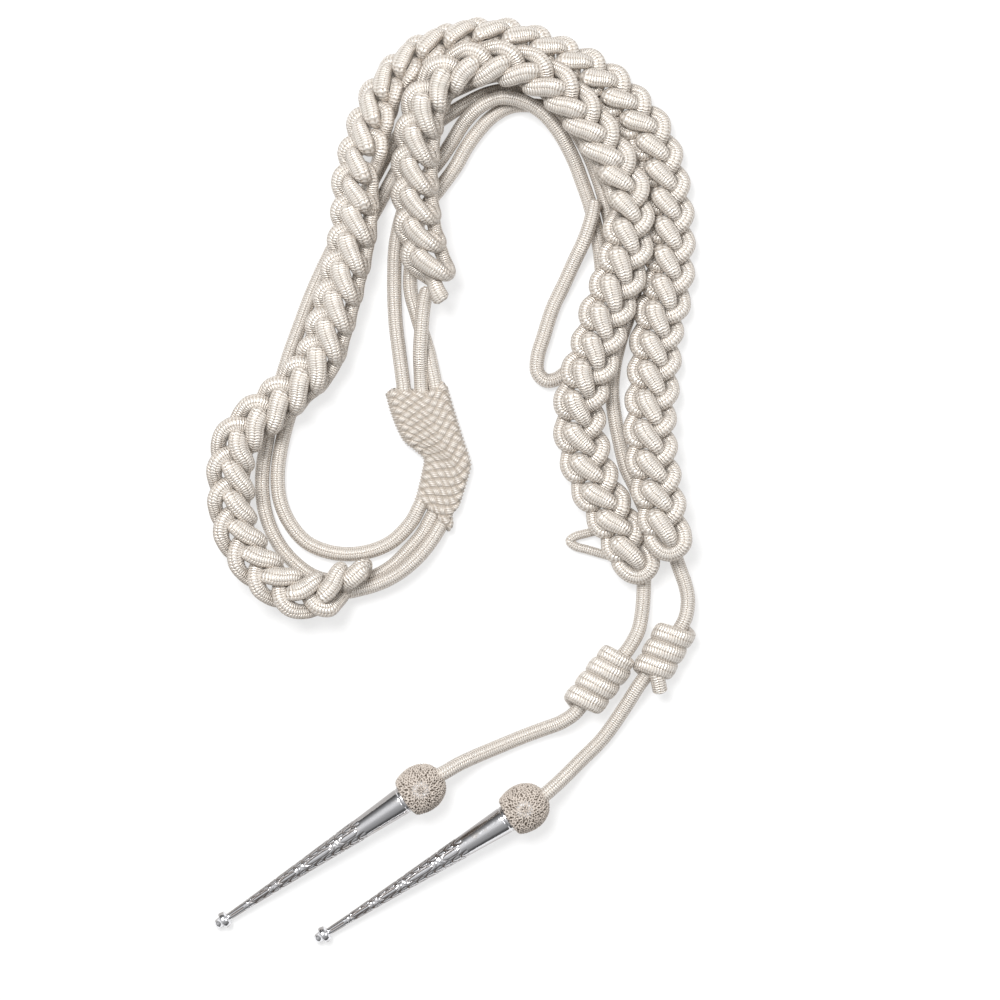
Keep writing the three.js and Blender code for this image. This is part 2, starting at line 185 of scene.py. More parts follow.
def cord_piece(name, line, sides, widths, depths, material, fullness=1.0):
    """A closed tube along the line, its ends rounded, its length and turn kept in a UV map.

    Its outline is an ellipse, or fuller at the corners where fullness is under 1.
    """
    around = cord_sides
    tangents = unit(np.gradient(line, axis=0))
    sides = unit(sides - tangents * np.sum(sides * tangents, axis=1)[:, None])
    across = np.cross(tangents, sides)
    count = len(line)
    angles = 2 * np.pi * np.arange(around) / around
    scale = np.ones(count)
    scale[[0, -1]] = 0.55
    scale[[1, -2]] = 0.85
    depth = (np.broadcast_to(depths, count) * scale / 2)[:, None, None]
    width = (np.broadcast_to(widths, count) * scale / 2)[:, None, None]
    deep = np.sign(np.cos(angles)) * np.abs(np.cos(angles)) ** fullness
    wide = np.sign(np.sin(angles)) * np.abs(np.sin(angles)) ** fullness
    rings = (line[:, None] + sides[:, None] * deep[None, :, None] * depth
             + across[:, None] * wide[None, :, None] * width)
    lengths = lengths_along(line)
    ring, turn = np.meshgrid(np.arange(count - 1), np.arange(around), indexing="ij")
    after = (turn + 1) % around
    quads = np.stack([ring * around + turn, ring * around + after,
                      (ring + 1) * around + after, (ring + 1) * around + turn], -1)
    faces = quads.reshape(-1, 4).tolist()
    faces.append(list(range(around))[::-1])
    faces.append(list(range((count - 1) * around, count * around)))
    mesh = bpy.data.meshes.new(name)
    mesh.from_pydata(rings.reshape(-1, 3).tolist(), [], faces)
    along = np.stack([lengths[ring], lengths[ring], lengths[ring + 1], lengths[ring + 1]], -1)
    about = np.stack([turn, turn + 1, turn + 1, turn], -1) / around
    uv = np.stack([along, about], -1).reshape(-1, 2)
    ends = np.zeros((2 * around, 2))
    ends[around:, 0] = lengths[-1]
    layer = mesh.uv_layers.new(name="cord")
    layer.data.foreach_set("uv", np.vstack([uv, ends]).ravel().astype(np.float32))
    cover(mesh, material)
    mesh.validate()
    return placed(name, mesh)


def chain_nodes(tree):
    """Adds maths nodes to a tree: each call gives the output of one new node."""
    def node(operation, *values):
        new = tree.nodes.new("ShaderNodeMath")
        new.operation = operation
        for socket, value in zip(new.inputs, values):
            if isinstance(value, (int, float)):
                socket.default_value = value
            else:
                tree.links.new(value, socket)
        return new.outputs[0]
    return node


def blank_material(name):
    """A new material, with its node tree and a maker of maths nodes."""
    material = bpy.data.materials.new(name)
    material.use_nodes = True
    return material, material.node_tree, chain_nodes(material.node_tree)


def set_shader(tree, colour, rough, metallic=0.0):
    """Feeds the shader its colour and its roughness, and sets how metallic it is."""
    shader = tree.nodes["Principled BSDF"]
    tree.links.new(colour, shader.inputs["Base Color"])
    tree.links.new(rough, shader.inputs["Roughness"])
    shader.inputs["Metallic"].default_value = metallic


def noise(tree, scale, detail=2):
    """Adds noise over the object's own coordinates."""
    place = tree.nodes.new("ShaderNodeTexCoord")
    new = tree.nodes.new("ShaderNodeTexNoise")
    new.inputs["Scale"].default_value = scale
    new.inputs["Detail"].default_value = detail
    tree.links.new(place.outputs["Object"], new.inputs["Vector"])
    return new.outputs[0]


def map_parts(tree, layer):
    """The two coordinates of a UV map."""
    uv = tree.nodes.new("ShaderNodeUVMap")
    uv.uv_map = layer
    parts = tree.nodes.new("ShaderNodeSeparateXYZ")
    tree.links.new(uv.outputs[0], parts.inputs[0])
    return parts.outputs[0], parts.outputs[1]


def raise_surface(tree, height, strength, distance):
    """Adds a bump to the tree's shader, its distance in metres."""
    bump = tree.nodes.new("ShaderNodeBump")
    bump.inputs["Strength"].default_value = strength
    bump.inputs["Distance"].default_value = distance
    tree.links.new(height, bump.inputs["Height"])
    tree.links.new(bump.outputs[0], tree.nodes["Principled BSDF"].inputs["Normal"])


def knit_group():
    """A knitted tube: cross ribs, painted shade in the valleys, gaps and sides, painted crest
    highlights.
    """
    group = bpy.data.node_groups.new("knit", "ShaderNodeTree")
    face = group.interface
    for label, value in (("Along", 0), ("Around", 0), ("Pitch", 0.00098), ("Columns", 8)):
        face.new_socket(label, in_out="INPUT", socket_type="NodeSocketFloat").default_value = value
    for label in ("Height", "Painted_gap_shade", "Bright", "Stitch", "Painted_side_shade"):
        face.new_socket(label, in_out="OUTPUT", socket_type="NodeSocketFloat")
    inside = group.nodes.new("NodeGroupInput").outputs
    outside = group.nodes.new("NodeGroupOutput").inputs
    node = chain_nodes(group)
    rows = node("DIVIDE", inside["Along"], inside["Pitch"])
    columns = node("MULTIPLY", inside["Around"], inside["Columns"])
    off_middle = node("SUBTRACT", node("FRACT", columns), 0.5)
    from_middle = node("MULTIPLY", node("ABSOLUTE", off_middle), 2)
    slanted = node("ADD", rows, node("MULTIPLY", from_middle, 0.3))
    crest = node("MULTIPLY_ADD", node("COSINE", node("MULTIPLY", slanted, 2 * math.pi)), 0.5, 0.5)
    valley = node("SUBTRACT", 1, crest)
    rib = node("SQRT", node("SUBTRACT", 1.0001, node("POWER", from_middle, 2.0)))
    height = node("MULTIPLY_ADD", crest, 0.55, node("MULTIPLY", rib, 0.45))
    edge = node("POWER", from_middle, 5.0)
    # Painted shade: the valleys between the cross ribs, and dots in the gaps between the columns,
    # are darkened.
    column_gap_shade = node("MULTIPLY", edge, node("MULTIPLY_ADD", valley, 0.55, 0.08))
    painted_shade = node("MINIMUM", node("MULTIPLY_ADD", valley, 0.2, column_gap_shade), 1)
    # Painted highlight: the crests, away from the column gaps, are marked for mixing towards white.
    crest_highlight = node("MULTIPLY", node("POWER", crest, 2.0), node("SUBTRACT", 1, edge))
    stitch_noise = group.nodes.new("ShaderNodeTexWhiteNoise")
    stitch_noise.noise_dimensions = "2D"
    cell = group.nodes.new("ShaderNodeCombineXYZ")
    group.links.new(node("FLOOR", slanted), cell.inputs[0])
    group.links.new(node("FLOOR", columns), cell.inputs[1])
    group.links.new(cell.outputs[0], stitch_noise.inputs["Vector"])
    # Painted shade: the tube's two sides, halfway round from its top and bottom, are marked for
    # darkening.
    facing = node("ABSOLUTE", node("COSINE", node("MULTIPLY", inside["Around"], 2 * math.pi)))
    painted_flank_shade = node("POWER", node("SUBTRACT", 1, facing), 1.4)
    for label, value in (("Height", height), ("Painted_gap_shade", painted_shade), ("Bright", crest_highlight),
                         ("Stitch", stitch_noise.outputs["Value"]), ("Painted_side_shade", painted_flank_shade)):
        group.links.new(value, outside[label])
    return group


def mixed(tree, factor, first, second, kind="MIX"):
    """Adds a colour mix: factor, first and second are outputs or plain values."""
    mix = tree.nodes.new("ShaderNodeMix")
    mix.data_type = "RGBA"
    mix.blend_type = kind
    for socket, value in ((mix.inputs[0], factor), (mix.inputs[6], first), (mix.inputs[7], second)):
        if isinstance(value, (tuple, int, float)):
            socket.default_value = value
        else:
            tree.links.new(value, socket)
    return mix.outputs[2]


knit = knit_group()


def cord_material(name, light, painted_shade):
    """Knitted metal-wound thread: pale stitches, painted shade in gaps and on sides, painted
    highlights.
    """
    material, tree, node = blank_material(name)
    along, around = map_parts(tree, "cord")
    stitches = tree.nodes.new("ShaderNodeGroup")
    stitches.node_tree = knit
    tree.links.new(along, stitches.inputs["Along"])
    tree.links.new(around, stitches.inputs["Around"])
    shade = node("MULTIPLY_ADD", noise(tree, 160, 3), 0.4,
                 node("MULTIPLY", stitches.outputs["Stitch"], 0.2))
    thread = mixed(tree, shade, (*light, 1), tuple(c * 0.78 for c in light) + (1,))
    # Painted highlight: the crests are mixed towards near-white, more on some stitches than others.
    painted_shine = node("MULTIPLY", stitches.outputs["Bright"],
                 node("MULTIPLY_ADD", stitches.outputs["Stitch"], 0.45, 0.25))
    with_highlights = mixed(tree, painted_shine, thread, (0.97, 0.95, 0.92, 1))
    # Painted shade on the cord's sides: a tone halfway between the thread's colour and the gap
    # colour.
    side_shade_tone = tuple((pale + deep) / 2 for pale, deep in zip(light, painted_shade)) + (1,)
    side_shaded = mixed(tree, node("MULTIPLY", stitches.outputs["Painted_side_shade"], 0.75), with_highlights, side_shade_tone)
    # Painted shade in the rib valleys and the column gaps.
    colour = mixed(tree, stitches.outputs["Painted_gap_shade"], side_shaded, (*painted_shade, 1))
    rough = node("MULTIPLY_ADD", stitches.outputs["Stitch"], -0.16, 0.46)
    set_shader(tree, colour, rough, 0.3)
    raise_surface(tree, stitches.outputs["Height"], 0.9, 0.0005)
    return material


silver_cord = cord_material("silver_cord", (0.77, 0.715, 0.65), (0.26, 0.19, 0.13))

# Routes are in millimetres. Their origin lies this far from the object's, and where a point has no
# height, the cord lies on the board.
shift = np.array([0.7335, -0.3931, 0.0])
lying_height = 3.2


def metres(route):
    """A route's points in metres, in the object's own frame."""
    points = [point if len(point) == 3 else (*point, lying_height) for point in route]
    return (np.array(points, float) + shift) / 1000


inner_loop_route = metres([
    (-12.6, -5.5, 4.3), (-15.3, -10.5, 4.4), (-18.5, -16.5, 3.8), (-27.5, -25.5), (-39.5, -30),
    (-52, -30), (-63.5, -25.5), (-71, -17), (-75, -7.5), (-76, 3), (-75, 13), (-72.5, 24),
    (-68.5, 37), (-64, 53), (-58.5, 70), (-52.5, 84.5), (-45.5, 98), (-37, 112), (-30, 124.5),
    (-24.5, 134.5), (-17.5, 145), (-9.5, 153), (-2, 158.5), (5.5, 163), (14, 167), (24.5, 169),
    (34.5, 169.5), (45.5, 167), (56, 157), (63, 145.3), (67.7, 133.8), (72, 120), (75.5, 108),
    (78, 98), (78.2, 89.5), (77, 80.5), (74, 70), (70.5, 59.5), (68, 47.5), (67.5, 38),
    (68.5, 29), (70.5, 18.5), (73.5, 6.5), (77, -1), (80.5, -9), (84, -16),
])
outer_loop_route = metres([
    (-6.8, -9.5, 4.3), (-9.9, -14.7, 4.4), (-14, -22, 3.5), (-20, -29), (-28, -36.5),
    (-38.5, -41.5), (-49.5, -42.5), (-60.5, -40), (-69.5, -33.5), (-76, -25.5), (-80.5, -15.5),
    (-82.5, -5.5), (-82.5, 5.5), (-80.5, 18.5), (-78, 31.5), (-75, 42), (-71, 55), (-66.5, 67.5),
    (-62, 79.5), (-57, 91), (-51, 103), (-43, 116.5), (-35.5, 129.5), (-29.5, 140.5),
    (-22.5, 151), (-13.5, 160), (-5.5, 165.5), (3.5, 170), (13.5, 174), (25, 176), (36, 176),
])
outer_top_route = metres([
    (-21.4, 35.5, 4.3), (-22, 41.8, 4.4), (-24, 57, 3.5), (-25.5, 70), (-26, 89), (-25, 104.5),
    (-21, 119), (-13.5, 130), (-6.5, 138.5), (-1.5, 146), (4, 154.5, 4.6), (11, 161, 8.6),
    (19.5, 164.5, 9.8), (29, 163, 9.8), (37.5, 158, 9.8), (44.5, 150, 8.6), (50.5, 139.5, 5),
    (54.5, 129.5), (58.5, 117.5), (62, 101), (63.5, 86.5),
])
inner_top_route = metres([
    (-7.6, 37.5, 4.3), (-8.8, 44.2, 4.4), (-11.5, 56.5, 3.4), (-16, 71), (-19, 83), (-18.5, 96),
    (-17, 107), (-13, 117.5), (-6, 127), (0.5, 136), (5, 144), (10.5, 151.5), (16.5, 157.5),
    (24, 161.5), (33, 162), (42, 160.3), (50, 153), (56.8, 142.3), (61.3, 131.3), (65, 119),
    (68.5, 102), (70, 87),
])
inner_lead_route = metres([
    (-11.4, 83.6, 9.6), (-12.6, 79, 9.6), (-13.4, 74.5, 9.6), (-14.3, 64, 9.6), (-14.8, 55, 8),
    (-14.6, 47.5, 5.2), (-14.3, 40.7, 4.3), (-13.6, 35, 4.2),
])
outer_lead_route = metres([
    (-3, -11, 4.3), (-5.5, -17, 4.6), (-9.2, -23.5, 6.4), (-15.5, -31.5, 8.4), (-24.5, -39, 8.8),
    (-33, -43.2, 8.8), (-41, -45.5, 8.8), (-47, -46.8, 8.8),
])


def plain_cord(name, route, node_name,
               thickness=cord_thickness):
    """A loose cord along its route, in place of its CAD node."""
    line, _, length = smooth_line(route, thickness / 7)
    piece = cord_piece(name, line, carried_sides(line), thickness, thickness, silver_cord)
    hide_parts(node_name)
    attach(piece, "root")
    return piece


plain_cord("loop_cord_inner_knit", inner_loop_route, "loop_cord_inner")
plain_cord("loop_cord_outer_knit", outer_loop_route, "loop_cord_outer")
plain_cord("top_cord_outer_knit", outer_top_route, "top_cord_outer")
plain_cord("top_cord_inner_knit", inner_top_route, "top_cord_inner")
plain_cord("plait_inner_lead_knit", inner_lead_route, "plait_inner_lead")
plain_cord("plait_outer_lead_knit", outer_lead_route, "plait_outer_lead")


# The shoulder tab. A flat sleeve of silver braid is drawn over the cords, bent at its middle, and
# sewn down at both ends. Its broad strands of fine threads cross over and under on the slant.
tab_height = 0.0084
sole_height = 0.0001
braid_height = 0.0009
tab_left = [(-29, 37.9), (-27.5, 31.9), (-24.4, 23.6), (-21.3, 18), (-16.9, 14.4), (-12.9, 10.5),
            (-13.4, 5.7), (-15.6, -4), (-17.1, -8.8)]
tab_right = [(-3.7, 40.8), (-1.5, 33.3), (2.8, 19.7), (6.4, 7.9), (5.9, 4.8), (4.2, -0.9),
             (1.1, -9.7), (-1.5, -12.8), (-1.1, -17.5)]
tab_top = [(-29, 37.9), (-26.7, 39.9), (-21.9, 40), (-16.8, 39.6), (-12, 39.1), (-8.6, 41.7),
           (-6, 43.2), (-3.7, 40.8)]
tab_foot = [(-17.1, -8.8), (-13.4, -10.1), (-11.2, -11.4), (-7.2, -15.4), (-4.2, -19.3),
            (-2.4, -20), (-1.1, -17.5)]
braid_strand = 3.1
braid_slant = math.radians(52)
hem_stitch = 1.5
end_stitch = 1.7


def edge_line(points, count):
    """The given count of evenly spaced places on a smooth edge, in millimetres."""
    line, _, _ = smooth_line(np.array(points, float) + shift[:2], 0.2)
    spots = np.linspace(0, len(line) - 1, count)
    return np.stack([np.interp(spots, np.arange(len(line)), line[:, k]) for k in range(2)], 1)


def braid_relief(across, along):
    """Height of a flat braid, 0 in its gaps and 1 on its strands, at places in millimetres."""
    turn = along * math.sin(braid_slant)
    slide = across * math.cos(braid_slant)
    first = (turn + slide) / braid_strand
    second = (turn - slide) / braid_strand
    over = (np.floor(first) + np.floor(second)) % 2 < 0.5
    wide = np.where(over, first % 1, second % 1) - 0.5
    long = np.where(over, second % 1, first % 1) - 0.5
    strand = np.sqrt(np.clip(1 - (wide * 2.1) ** 4, 0, 1))
    return strand * (0.15 + 0.85 * np.cos(long * np.pi))


def vertex_values(mesh, kind):
    """The vertices' places, kind co, or their normals, kind normal."""
    values = np.zeros(len(mesh.vertices) * 3)
    mesh.vertices.foreach_get(kind, values)
    return values.reshape(-1, 3)


def keep_values(mesh, name, values):
    """Stores a value for each vertex, for the material."""
    mesh.attributes.new(name, "FLOAT", "POINT").data.foreach_set("value", values)


def stored(tree, name):
    """Reads in a material what keep_values has stored."""
    new = tree.nodes.new("ShaderNodeAttribute")
    new.attribute_name = name
    return new.outputs["Fac"]


def raise_mesh(mesh, relief, heights, lowest=-math.inf):
    """Moves the surface out by the heights, no lower than lowest, and stores the relief."""
    raised = vertex_values(mesh, "co") + vertex_values(mesh, "normal") * heights[:, None]
    raised[:, 2] = np.maximum(raised[:, 2], lowest)
    mesh.vertices.foreach_set("co", raised.ravel())
    keep_values(mesh, "relief", relief)


def woven_material():
    """Silver braid: pale threads along each strand, painted shade where one strand dips under
    another.
    """
    material, tree, node = blank_material("woven_silver")
    across, along = map_parts(tree, "cloth")
    turn = node("MULTIPLY", along, math.sin(braid_slant))
    slide = node("MULTIPLY", across, math.cos(braid_slant))
    first = node("DIVIDE", node("ADD", turn, slide), braid_strand / 1000)
    second = node("DIVIDE", node("SUBTRACT", turn, slide), braid_strand / 1000)
    under = node("FLOORED_MODULO", node("ADD", node("FLOOR", first), node("FLOOR", second)), 2)
    wide = node("ADD", node("MULTIPLY", first, node("SUBTRACT", 1, under)),
                node("MULTIPLY", second, under))
    threads_a_strand = 4
    wave = node("COSINE", node("MULTIPLY", wide, 2 * math.pi * threads_a_strand))
    threads = node("MULTIPLY_ADD", wave, 0.5, 0.5)
    # Painted shade: where the relief is low, under the crossing strands, the braid is darkened.
    hollow_shade = node("SUBTRACT", 1, stored(tree, "relief"))
    pale = mixed(tree, threads, (0.50, 0.44, 0.38, 1), (0.80, 0.77, 0.73, 1))
    cloud = node("MULTIPLY", noise(tree, 240, 4), 0.5)
    mottled = mixed(tree, cloud, pale, (0.60, 0.54, 0.48, 1))
    colour = mixed(tree, node("MULTIPLY", hollow_shade, 0.8), mottled, (0.30, 0.24, 0.18, 1))
    set_shader(tree, colour, node("MULTIPLY_ADD", threads, -0.15, 0.55), 0.2)
    raise_surface(tree, threads, 0.7, 0.0002)
    return material


woven_silver = woven_material()


def woven_tab():
    rows = 176
    columns = 66
    left = edge_line(tab_left, rows)
    right = edge_line(tab_right, rows)
    top = edge_line(tab_top, columns)
    foot = edge_line(tab_foot, columns)
    down = np.linspace(0, 1, rows)[:, None, None]
    side = np.linspace(0, 1, columns)[None, :, None]
    corners = ((1 - down) * ((1 - side) * left[0] + side * right[0])
               + down * ((1 - side) * left[-1] + side * right[-1]))
    flat = ((1 - down) * top[None] + down * foot[None]
            + (1 - side) * left[:, None] + side * right[:, None] - corners)
    along = lengths_along((left + right) / 2)
    half_width = np.linalg.norm(right - left, axis=1) / 2
    from_middle = np.linspace(-1, 1, columns)
    to_end = np.minimum(along, along[-1] - along)
    end_shape = np.sqrt(np.clip(1 - (1 - np.clip(to_end / 2.2, 0, 1)) ** 2, 0.1, 1))
    crown = np.clip(1 - np.abs(from_middle) ** 3.4, 0.02, 1) ** (1 / 2.4)
    sole = np.clip(1 - np.abs(from_middle) ** 7, 0.02, 1) ** (1 / 3)
    kink = np.exp(-((along - along[rows // 2]) / 5) ** 2)
    dent = kink[:, None] * np.clip(0.5 - from_middle, 0, 1)[None] * 0.1
    middle = tab_height * 0.42
    upper = middle + (tab_height - 0.0005 - middle) * crown[None] * end_shape[:, None] * (1 - dent)
    lower = middle - (middle - sole_height) * sole[None] * end_shape[:, None]
    places = np.concatenate([
        np.concatenate([flat / 1000, upper[:, :, None]], 2),
        np.concatenate([flat[:, ::-1] / 1000, lower[:, ::-1, None]], 2)], 1).reshape(-1, 3)
    ring = 2 * columns
    faces = [(row * ring + k, row * ring + (k + 1) % ring,
              (row + 1) * ring + (k + 1) % ring, (row + 1) * ring + k)
             for row in range(rows - 1) for k in range(ring)]
    faces.append(tuple(range(ring))[::-1])
    faces.append(tuple(range((rows - 1) * ring, rows * ring)))
    faces = [face[::-1] for face in faces]
    across = np.concatenate([from_middle, 2.2 - from_middle[::-1]])[None] * half_width[:, None]
    lengthwise = np.repeat(along[:, None], ring, 1)
    relief = braid_relief(across, lengthwise)
    edge = np.abs(np.concatenate([from_middle, from_middle[::-1]]))[None] * np.ones((rows, 1))
    hem = np.clip((edge - 0.9) / 0.06, 0, 1)
    stitches = 0.6 + 0.4 * np.cos(lengthwise * 2 * np.pi / hem_stitch)
    relief = relief * (1 - hem) + stitches * hem
    rim = np.exp(-(to_end / 1.1) ** 2)[:, None]
    relief = relief * (1 - rim) + (0.55 + 0.45 * np.cos(across * 2 * np.pi / end_stitch)) * rim
    relief = relief.ravel()
    mesh = bpy.data.meshes.new("shoulder_tab_braid")
    mesh.from_pydata(places.tolist(), [], faces)
    mesh.validate()
    raise_mesh(mesh, relief, relief * braid_height, sole_height)
    loop_vertices = np.zeros(len(mesh.loops), int)
    mesh.loops.foreach_get("vertex_index", loop_vertices)
    uv = np.stack([across, lengthwise], -1).reshape(-1, 2)[loop_vertices] / 1000
    mesh.uv_layers.new(name="cloth").data.foreach_set("uv", uv.ravel().astype(np.float32))
    cover(mesh, woven_silver)
    mesh.update()
    piece = placed("shoulder_tab_braid", mesh)
    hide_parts("shoulder_tab")
    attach(piece, "root")
    return piece


tab = woven_tab()


# The two plaits. Each is a single cord worked as a chain: it comes up through the loop before it,
# crosses on top as a slanting bar, goes down through the next loop and makes a loop underneath.
# Pulled tight, the soft cord is pressed flat where it crosses.
stitch_pitch = 12.6
loop_half_width = 8.0
layer_height = 5.2
pressed_thickness = 4.2
ring_spacing = 0.75

# along in pitches, across in half widths, up in layers, the way that the cord is pressed, its width
# and its depth in millimetres
stitch_rows = [
    (0.17, -0.44, 0.35, (-1, 0, 0.1), 7.2, 5.2),
    (0.25, -0.45, 0.84, (-0.5, 0, 1), 8.2, 5.2),
    (0.43, -0.31, 0.98, (0, 0, 1), 8.6, 5.2),
    (0.65, -0.07, 1.00, (0, 0, 1), 8.0, 5.2),
    (0.85, 0.15, 0.94, (0, 0, 1), 6.9, 5.1),
    (1.00, 0.30, 0.68, (0.6, 0, 1), 5.7, 5.0),
    (1.08, 0.37, 0.20, (1, 0, 0.2), 5.0, 5.0),
    (1.10, 0.38, -0.45, (1, 0, 0.2), 5.0, 5.0),
    (1.22, 0.46, -0.92, (0.4, 0, 1), 5.8, 5.0),
    (1.50, 0.74, -0.92, (0, -0.3, 1), 6.4, 5.0),
    (1.78, 0.95, -0.45, (0, -0.3, 1), 6.9, 5.2),
    (2.02, 0.95, 0.12, (0, 0, 1), 7.1, 5.6),
    (2.24, 0.73, 0.36, (0, 0, 1), 7.1, 5.7),
    (2.43, 0.33, 0.12, (0, 0, 1), 7.0, 5.6),
    (2.61, -0.12, -0.02, (0, 0, 1), 6.9, 5.6),
    (2.70, -0.58, 0.02, (0, 0, 1), 6.9, 5.6),
    (2.60, -0.95, 0.14, (0, 0, 1), 6.9, 5.6),
    (2.32, -1.08, 0.04, (0, 0.1, 1), 6.7, 5.4),
    (2.02, -0.92, -0.40, (0, 0.3, 1), 6.2, 5.2),
    (1.74, -0.68, -0.92, (0, 0.2, 1), 6.2, 5.0),
    (1.46, -0.52, -0.95, (0.4, 0, 1), 6.0, 5.0),
    (1.25, -0.46, -0.45, (1, 0, 0.2), 5.8, 5.0),
]
# the same where the bars lean the other way and end broad and round inside the loops' crescents
leaning_rows = [
    (0.10, -0.72, 0.10, (-1, 0, 0.1), 6.4, 5.0),
    (0.20, -0.66, 0.62, (-0.5, 0, 1), 6.8, 5.2),
    (0.42, -0.42, 0.95, (0, 0, 1), 7.8, 5.2),
    (0.66, -0.13, 1.02, (0, 0, 1), 8.4, 5.2),
    (0.90, 0.12, 1.00, (0, 0, 1), 8.7, 5.2),
    (1.08, 0.28, 0.80, (0.6, 0, 1), 8.3, 5.0),
    (1.17, 0.34, 0.35, (1, 0, 0.2), 7.2, 5.0),
    (1.17, 0.38, -0.45, (1, 0, 0.2), 5.6, 5.0),
    (1.26, 0.52, -0.92, (0.4, 0, 1), 6.8, 5.0),
    (1.50, 0.76, -0.80, (0, -0.3, 1), 7.4, 5.0),
    (1.76, 0.97, -0.30, (0, -0.3, 1), 7.1, 5.2),
    (2.02, 1.01, 0.15, (0, 0, 1), 7.4, 5.6),
    (2.27, 0.82, 0.36, (0, 0, 1), 7.4, 5.7),
    (2.45, 0.44, 0.22, (0, 0, 1), 7.2, 5.6),
    (2.54, 0.04, 0.02, (0, 0, 1), 7.0, 5.4),
    (2.50, -0.34, -0.20, (0, 0, 1), 6.8, 5.2),
    (2.34, -0.58, -0.32, (0, 0, 1), 6.6, 5.0),
    (2.08, -0.66, -0.50, (0, 0.1, 1), 6.6, 5.0),
    (1.80, -0.62, -0.76, (0, 0.3, 1), 6.6, 5.0),
    (1.52, -0.62, -0.92, (0, 0.2, 1), 6.4, 5.0),
    (1.28, -0.70, -0.80, (0.4, 0, 1), 6.2, 5.0),
    (1.14, -0.74, -0.40, (1, 0, 0.2), 6.2, 5.0),
]
# the last loop, an open U, takes the place of rows 11 to 18, and the last bar reaches into it
last_loop_rows = [
    (2.00, 1.00, 0.12, (0, 0, 1), 7.0, 5.6),
    (2.24, 0.96, 0.36, (0, 0, 1), 7.0, 5.7),
    (2.46, 0.64, 0.25, (0, 0, 1), 7.0, 5.6),
    (2.57, 0.16, 0.12, (0, 0, 1), 6.9, 5.6),
    (2.50, -0.32, 0.10, (0, 0, 1), 6.9, 5.6),
    (2.30, -0.68, 0.14, (0, 0, 1), 6.9, 5.6),
    (2.08, -0.86, 0.00, (0, 0.1, 1), 6.7, 5.4),
    (1.90, -0.90, -0.40, (0, 0.3, 1), 6.2, 5.2),
]
last_bar_rows = stitch_rows[:2] + [
    (0.45, -0.32, 0.98, (0, 0, 1), 8.6, 5.2),
    (0.70, -0.12, 1.00, (0, 0, 1), 8.2, 5.2),
    (0.94, 0.07, 0.90, (0, 0, 1), 7.4, 5.1),
    (1.14, 0.20, 0.60, (0.6, 0, 1), 6.4, 5.0),
    (1.24, 0.26, 0.10, (1, 0, 0.2), 5.6, 5.0),
    (1.24, 0.26, -0.45, (1, 0, 0.2), 5.2, 5.0),
]
# the outermost places of a stitch, across and up, on which a tilted plait comes to rest
deepest_rows = np.array([(0.95, -1), (1.0, 0), (-1.0, 0), (-0.98, -1), (0.39, 1), (-0.39, 1)])

# The rows in which each plait's cord starts, hidden from above or with a rounded end showing.
outer_start_rows = [
    (0.95, 0.36, -0.95, (0, 0, 1), 5.6, 5.0),
    (0.72, 0.20, -0.95, (0, 0, 1), 5.8, 5.0),
    (0.52, -0.02, -0.75, (0, 0.3, 1), 6.4, 5.2),
    (0.40, -0.20, -0.10, (0, 1, 0.3), 6.8, 5.4),
    (0.48, -0.14, 0.50, (0, 0.5, 1), 8.0, 5.4),
    (0.64, -0.04, 0.80, (0, 0, 1), 8.6, 5.4),
    (0.86, 0.04, 0.85, (0, 0, 1), 8.6, 5.2),
    (1.08, 0.10, 0.72, (0, 0, 1), 7.8, 5.0),
    (1.24, 0.14, 0.30, (0.8, 0, 1), 6.6, 5.0),
    (1.32, 0.22, -0.35, (1, 0, 0.2), 5.6, 5.0),
    (1.40, 0.34, -0.90, (0.4, 0, 1), 5.8, 5.0),
    (1.62, 0.56, -0.80, (0, -0.3, 1), 6.4, 5.0),
    (1.84, 0.82, -0.30, (0, -0.3, 1), 6.9, 5.2),
] + leaning_rows[11:]
inner_start_rows = [
    (0.34, -0.06, 0.30, (0, 0, 1), 7.6, 5.8),
    (0.50, 0.00, 0.34, (0, 0, 1), 7.8, 5.8),
    (0.78, 0.08, 0.30, (0, 0, 1), 7.4, 5.6),
    (1.05, 0.18, -0.10, (0, 0, 1), 6.8, 5.2),
    (1.24, 0.45, -0.70, (0, 0, 1), 6.2, 5.0),
] + leaning_rows[8:]

